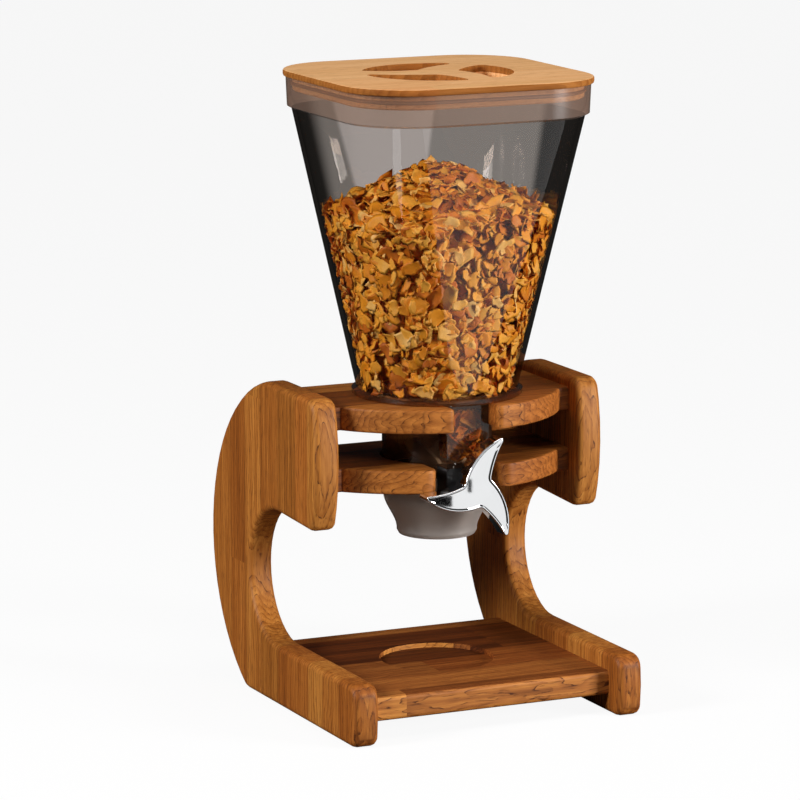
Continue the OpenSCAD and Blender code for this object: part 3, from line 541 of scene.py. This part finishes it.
# signed distance from the hopper's inner wall, negative inside
def wallDistance(points):
    h = hopperInside
    t = np.clip((points[..., 2] - h["low"]) / (h["high"] - h["low"]), 0, 1)
    half = h["lowHalf"] + (h["highHalf"] - h["lowHalf"]) * t
    corner = h["lowCorner"] + (h["highCorner"] - h["lowCorner"]) * t
    q = np.abs(points[..., :2] - np.array(hopperAxis)) - (half - corner)[..., None]
    outside = np.linalg.norm(np.maximum(q, 0), axis=-1)
    return outside + np.minimum(q.max(-1), 0) - corner


# how far a ray from the axis runs at a height before it is within a gap of the wall, by halving
def reachToWall(ray, height, gap):
    low, high = 0.0, cereal["searchReach"]
    for _ in range(cereal["halvings"]):
        middle = (low + high) / 2
        if wallDistance(hopperMiddle + ray * middle + [0, 0, height]) < -gap:
            low = middle
        else:
            high = middle
    return low


# the heap is a cone on the hopper's axis
def heapTop(x, y):
    fromAxis = math.hypot(x - hopperAxis[0], y - hopperAxis[1])
    return cereal["peak"] - cereal["slope"] * fromAxis


# a few kinds of flake, each a flattened, curled and crinkled ball of 66 triangles
def flakeKinds(rng):
    kinds, faces = [], None
    share, acrossWaves, alongWaves = cereal["crinkle"]
    for _ in range(cereal["kinds"]):
        bpy.ops.object.select_all(action="DESELECT")
        bpy.ops.mesh.primitive_uv_sphere_add(segments=11, ring_count=4, radius=1)
        ball = bpy.context.object
        co = np.array([v.co for v in ball.data.vertices])
        faces = [list(p.vertices) for p in ball.data.polygons]
        angle = np.arctan2(co[:, 1], co[:, 0])
        phase = rng.uniform(0, 2 * math.pi, 4)
        outline = 1
        for (part, waves), start in zip(cereal["outlineWaves"], phase):
            outline = outline + part * np.sin(waves * angle + start)
        stretch = rng.uniform(*cereal["stretch"])
        x = co[:, 0] * outline
        y = co[:, 1] * outline * stretch
        bowl = cereal["curl"] * rng.uniform(*cereal["curlSpread"])
        fold = rng.uniform(-cereal["fold"], cereal["fold"])
        crinkle = share * np.sin(acrossWaves * x + phase[0]) * np.cos(alongWaves * y + phase[3])
        z = (co[:, 2] * cereal["thickness"] / cereal["thickAt"] + bowl * x * x + fold * y * y
             + cereal["twist"] * fold * x * y + crinkle)
        kinds.append(np.stack([x, y, z - z.mean()], 1))
        mesh = ball.data
        bpy.data.objects.remove(ball)
        bpy.data.meshes.remove(mesh)
    return kinds, faces


# moves a flake in from the wall
def keepInside(flake, outward):
    reach = wallDistance(flake).max() + cereal["wallGap"]
    if reach > 0:
        flake -= outward * reach * cereal["pushIn"]


# one mesh of many flakes, with a tone for each of their points
def joinFlakes(name, flakes, faces, tone):
    each = len(flakes[0])
    mesh = bpy.data.meshes.new(name)
    mesh.from_pydata(np.concatenate(flakes).tolist(), [],
                     [[v + i * each for v in face] for i in range(len(flakes)) for face in faces])
    mesh.attributes.new("flakeTone", "FLOAT", "POINT").data.foreach_set(
        "value", tone.ravel().astype(np.float32))
    heap = bpy.data.objects.new(name, mesh)
    scene.collection.objects.link(heap)
    pickOnly(heap)
    bpy.ops.object.shade_smooth()
    return heap


def makeCereal():
    rng = np.random.default_rng(cereal["seed"])
    kinds, faces = flakeKinds(rng)
    flakes = []

    def put(place, normal, tilt):
        lean = Vector(normal).normalized() + Vector(rng.normal(0, tilt, 3))
        spin = Matrix.Rotation(rng.uniform(0, 2 * math.pi), 3, "Z")
        turn = np.array(lean.to_track_quat("Z", "Y").to_matrix() @ spin)
        low, high = cereal["size"]
        size = low + (high - low) * rng.uniform() ** cereal["sizeBias"]
        return (kinds[rng.integers(len(kinds))] * size) @ turn.T + np.array(place)

    # along the walls, up to the heap's edge
    while len(flakes) < cereal["wallFlakes"]:
        span = cereal["wallTop"] - hopperInside["low"]
        z = hopperInside["low"] + span * rng.uniform() ** cereal["wallBias"]
        angle = rng.uniform(0, 2 * math.pi)
        ray = np.array([math.cos(angle), math.sin(angle), 0.0])
        reach = reachToWall(ray, z, 0)
        depth = cereal["wallDepth"] + cereal["wallLayer"] * rng.uniform() ** cereal["depthBias"]
        place = hopperMiddle + ray * (reach - depth) + [0, 0, z]
        if z > heapTop(place[0], place[1]) - cereal["topDepth"]:
            continue
        outward = Vector((ray[0], ray[1], cereal["wallLean"]))
        flake = put(place, outward, cereal["wallTilt"] + cereal["deepTilt"] * depth)
        keepInside(flake, ray)
        flakes.append(flake)

    # on top of the heap
    while len(flakes) < cereal["wallFlakes"] + cereal["topFlakes"]:
        x, y = rng.uniform(-cereal["topReach"], cereal["topReach"], 2)
        z = heapTop(x, y + hopperMiddle[1])
        if wallDistance(np.array([x, y + hopperMiddle[1], z])) > -cereal["topFromWall"]:
            continue
        away = Vector((x, y, 0)).normalized() * cereal["topLean"]
        under = z - cereal["topDepth"] - cereal["topLayer"] * rng.uniform()
        flake = put((x, y + hopperMiddle[1], under), Vector((away.x, away.y, 1)), cereal["topTilt"])
        keepInside(flake, np.array([x, y, 0]) / max(1e-6, math.hypot(x, y)))
        flakes.append(flake)

    # in the throat
    for _ in range(cereal["throatFlakes"]):
        angle = rng.uniform(0, 2 * math.pi)
        ray = Vector((math.cos(angle), math.sin(angle), 0))
        place = Vector(hopperMiddle) + ray * rng.uniform(*cereal["throatReach"])
        place += Vector((0, 0, rng.uniform(*cereal["throatHeight"])))
        flakes.append(put(place, ray + Vector((0, 0, cereal["throatLean"])), cereal["looseTilt"]))

    # in the square boss in front of the paddle wheel
    for low, high in cereal["bossSpaces"]:
        low, high = np.array(low), np.array(high)
        for _ in range(cereal["bossFlakes"]):
            place = rng.uniform(low, high)
            outward = Vector((rng.normal(0, cereal["bossSpread"]), -1, cereal["bossLean"]))
            flake = put(place, outward, cereal["looseTilt"])
            flake += np.maximum(low - flake.min(0), 0) - np.maximum(flake.max(0) - high, 0)
            flakes.append(np.clip(flake, low, high))

    # each flake has a tone of its own, and its rim is toasted darker on some and paler on others
    reach = np.hypot(kinds[0][:, 0], kinds[0][:, 1])
    tone = (rng.beta(*cereal["tone"], len(flakes))[:, None]
            + rng.uniform(*cereal["rimTone"], len(flakes))[:, None]
            * (reach / reach.max())[None, :] ** 2)
    tone = np.clip(tone, 0, 1)
    walls = cereal["wallFlakes"]
    return [joinFlakes("cerealAlongWalls", flakes[:walls], faces, tone[:walls]),
            joinFlakes("cerealOnTop", flakes[walls:], faces, tone[walls:])]


def makeCerealMaterial():
    material, tree, output = newMaterial("toastedCornFlake")
    place = addNode(tree, "ShaderNodeTexCoord").outputs["Object"]
    tone = addNode(tree, "ShaderNodeAttribute", {"attribute_name": "flakeTone"}).outputs["Fac"]
    blister = addNode(tree, "ShaderNodeTexNoise",
                      {"Scale": cereal["blistersPerMetre"], "Detail": 3.0, "Roughness": 0.6},
                      {"Vector": place})
    cloud = addNode(tree, "ShaderNodeTexNoise", {"Scale": cereal["toastPerMetre"], "Detail": 2.0},
                    {"Vector": place})
    toast = addNode(tree, "ShaderNodeMath", {"operation": "MULTIPLY", 1: cereal["toastShare"]},
                    {0: cloud.outputs[0]})
    mixed = addNode(tree, "ShaderNodeMath", {"operation": "MULTIPLY_ADD", 1: cereal["toneShare"]},
                    {0: tone, 2: toast.outputs[0]})
    ramp = addNode(tree, "ShaderNodeValToRGB", links={0: mixed.outputs[0]})
    setRamp(ramp, cereal["colours"])
    rough = addNode(tree, "ShaderNodeMapRange",
                    {"To Min": cereal["rough"][0], "To Max": cereal["rough"][1]},
                    {"Value": blister.outputs[0]})
    bump = addNode(tree, "ShaderNodeBump",
                   {"Strength": cereal["bump"], "Distance": cereal["bumpDepth"]},
                   {"Height": blister.outputs[0]})
    skin = addNode(tree, "ShaderNodeBsdfPrincipled", {"Specular IOR Level": cereal["gloss"]},
                   {"Base Color": ramp.outputs[0], "Roughness": rough.outputs[0],
                    "Normal": bump.outputs[0]})
    tree.links.new(skin.outputs[0], output.inputs[0])
    return material


# the mass behind the outer flakes: a loft inside the hopper with a cone on top
def makeCerealCore(material):
    bpy.ops.object.select_all(action="DESELECT")
    bpy.ops.mesh.primitive_uv_sphere_add(
        segments=cereal["coreSegments"], ring_count=cereal["coreRings"], radius=1)
    core = bpy.context.object
    core.name = core.data.name = "cerealCore"
    for v in core.data.vertices:
        angle = math.atan2(v.co.y, v.co.x)
        ray = np.array([math.cos(angle), math.sin(angle), 0.0])
        # the ball's lower half becomes the sides, with its last ring as the foot, and its upper
        # half the cone
        onSide = v.co.z <= 0
        level = cereal["coreShoulder"]
        if onSide:
            level = cereal["coreLow"] + (cereal["coreShoulder"] - cereal["coreLow"]) * (1 + v.co.z)
        share = 1.0 if onSide and v.co.z > cereal["coreFoot"] else math.hypot(v.co.x, v.co.y)
        place = hopperMiddle + ray * (reachToWall(ray, level, cereal["coreInset"]) * share)
        if not onSide:
            level = max(level, heapTop(place[0], place[1]) - cereal["coreUnder"])
        v.co = (place[0], place[1], level)
    dress(core, material)
    pickOnly(core)
    bpy.ops.object.shade_smooth()
    return core


cornFlake = makeCerealMaterial()
for heap in makeCereal():
    dress(heap, cornFlake)
    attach(heap, "stand")
    print("cereal made:", heap.name, len(heap.data.polygons), "faces")
core = makeCerealCore(cornFlake)
# the core takes the darkest flake tone: painted shade deep in the heap
core.data.attributes.new("flakeTone", "FLOAT", "POINT").data.foreach_set(
    "value", np.full(len(core.data.vertices), cereal["coreShadeTone"], np.float32))
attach(core, "stand")

studio = {
    "cameraAt": (-1.1983, -2.5409, 0.7251), "cameraAim": (-0.0230, -0.0139, 0.1960),
    "lens": 201.54, "sensor": 36,
    "lamps": [
        # name, place, aim, size, watts
        ("overheadSoftbox", (0.10, -0.38, 1.05), (0, -0.02, 0.30), 0.5, 3.0),
        ("rightSoftbox", (1.45, -1.60, 0.50), (0, -0.02, 0.20), 0.7, 54.0),
        ("leftSoftbox", (-1.85, -0.25, 1.02), (0, -0.02, 0.20), 0.6, 38.0),
    ],
    "white": (1, 1, 1, 1), "worldForObject": 0.05, "worldMirrored": 0.03,
    "floorSize": 14, "floorSeen": "#F8F8F8", "floorThrown": "#6E6A66",
    "floorShadow": 0.08, "floorMirrored": 0.02,
    # cards that only reflections see: name, centre, half sizes, what they face, strength
    "cards": [
        ("whiteCardFront", (0.40, -0.78, 0.003), (0.42, 0.36), (0.40, -0.78, 1.0), 1.0),
        ("whiteCardHigh", (-0.69, -0.60, 0.98), (0.45, 0.45), (0, -0.08, 0.15), 1.0),
        ("whiteCardAhead", (-0.30, -3.0, 0.235), (0.90, 0.215), (0, -0.10, 0.15), 0.9),
        ("streakCard", (-0.46, -0.44, 0.003), (0.05, 0.10), (-0.46, -0.44, 1.0), 2.5),
        # two small black cards just in front of the knob put dark marks into its mirror on a lobe and in
        # the slot: painted reflection
        ("blackCardLobe", (0.0150, -0.1703, 0.1227), (0.0085, 0.0036), (-0.0272, -0.082, 0.1435), 0),
        ("blackCardSlot", (0.0368, -0.1701, 0.1310), (0.0013, 0.0042), (-0.0059, -0.082, 0.1518), 0),
    ],
}


# turns a piece so that the axis given points at a place
def aimAt(piece, target, axis):
    piece.rotation_euler = (Vector(target) - piece.location).to_track_quat(axis, "Y").to_euler()


camera = bpy.data.objects.new("camera", bpy.data.cameras.new("camera"))
scene.collection.objects.link(camera)
camera.location = studio["cameraAt"]
aimAt(camera, studio["cameraAim"], "-Z")
camera.data.lens = studio["lens"]
camera.data.sensor_width = studio["sensor"]
scene.camera = camera

for name, place, aim, size, watts in studio["lamps"]:
    lamp = bpy.data.objects.new(name, bpy.data.lights.new(name, "AREA"))
    scene.collection.objects.link(lamp)
    lamp.location = place
    aimAt(lamp, aim, "-Z")
    lamp.data.shape = "SQUARE"
    lamp.data.size = size
    lamp.data.energy = watts

# the world is white to the camera and behind what is looked through, dim as a light and almost
# black in reflections
world = bpy.data.worlds.new("studioWorld")
scene.world = world
world.use_nodes = True
tree = world.node_tree
tree.nodes.clear()
rays = addNode(tree, "ShaderNodeLightPath").outputs
seen = addNode(tree, "ShaderNodeMath", {"operation": "MAXIMUM"},
               {0: rays["Is Camera Ray"], 1: rays["Is Transmission Ray"]})
dim = addNode(tree, "ShaderNodeMapRange",
              {"To Min": studio["worldForObject"], "To Max": studio["worldMirrored"]},
              {"Value": rays["Is Glossy Ray"]})
level = addNode(tree, "ShaderNodeMix", {"data_type": "FLOAT", 3: 1.0},
                {0: seen.outputs[0], 2: dim.outputs[0]})
sky = addNode(tree, "ShaderNodeBackground", {"Color": studio["white"]}, {"Strength": level.outputs[0]})
tree.links.new(sky.outputs[0], addNode(tree, "ShaderNodeOutputWorld").inputs[0])

# the floor glows white to the camera, keeps a light shadow, throws little light back up at the
# object and is almost black in reflections
bpy.ops.object.select_all(action="DESELECT")
bpy.ops.mesh.primitive_plane_add(size=studio["floorSize"])
floor = bpy.context.object
floor.name = "floor"
material, tree, output = newMaterial("whiteFloor")
rays = addNode(tree, "ShaderNodeLightPath").outputs
seen = addNode(tree, "ShaderNodeMath", {"operation": "MAXIMUM"},
               {0: rays["Is Camera Ray"], 1: rays["Is Transmission Ray"]})
share = addNode(tree, "ShaderNodeMath", {"operation": "MULTIPLY", 1: 1 - studio["floorShadow"]},
                {0: seen.outputs[0]})
unseen = addNode(tree, "ShaderNodeMath", {"operation": "MAXIMUM"},
                 {0: rays["Is Diffuse Ray"], 1: rays["Is Glossy Ray"]})
thrown = addNode(tree, "ShaderNodeMix",
                 {"data_type": "RGBA", 6: linear(studio["floorThrown"]),
                  7: [studio["floorMirrored"]] * 3 + [1]}, {0: rays["Is Glossy Ray"]})
paint = addNode(tree, "ShaderNodeMix", {"data_type": "RGBA", 6: linear(studio["floorSeen"])},
                {0: unseen.outputs[0], 7: thrown.outputs[2]})
matt = addNode(tree, "ShaderNodeBsdfDiffuse", links={"Color": paint.outputs[2]})
glow = addNode(tree, "ShaderNodeEmission", {"Color": studio["white"], "Strength": 1.0})
both = addNode(tree, "ShaderNodeMixShader",
               links={0: share.outputs[0], 1: matt.outputs[0], 2: glow.outputs[0]})
tree.links.new(both.outputs[0], output.inputs[0])
dress(floor, material)

# cards as on a photographer's table: only reflections see them, and only from their front
for name, centre, half, facing, strength in studio["cards"]:
    bpy.ops.object.select_all(action="DESELECT")
    bpy.ops.mesh.primitive_plane_add(size=2, location=centre)
    card = bpy.context.object
    card.name = name
    aimAt(card, facing, "Z")
    card.scale = (half[0], half[1], 1)
    card.visible_camera = card.visible_diffuse = False
    card.visible_transmission = card.visible_shadow = False
    material, tree, output = newMaterial(name)
    glow = addNode(tree, "ShaderNodeEmission", {"Color": studio["white"], "Strength": strength})
    clear = addNode(tree, "ShaderNodeBsdfTransparent")
    away = addNode(tree, "ShaderNodeNewGeometry").outputs["Backfacing"]
    front = addNode(tree, "ShaderNodeMath", {"operation": "SUBTRACT", 0: 1.0}, {1: away})
    oneSided = addNode(tree, "ShaderNodeMixShader",
                       links={0: front.outputs[0], 1: clear.outputs[0], 2: glow.outputs[0]})
    tree.links.new(oneSided.outputs[0], output.inputs[0])
    dress(card, material)
print("studio set")
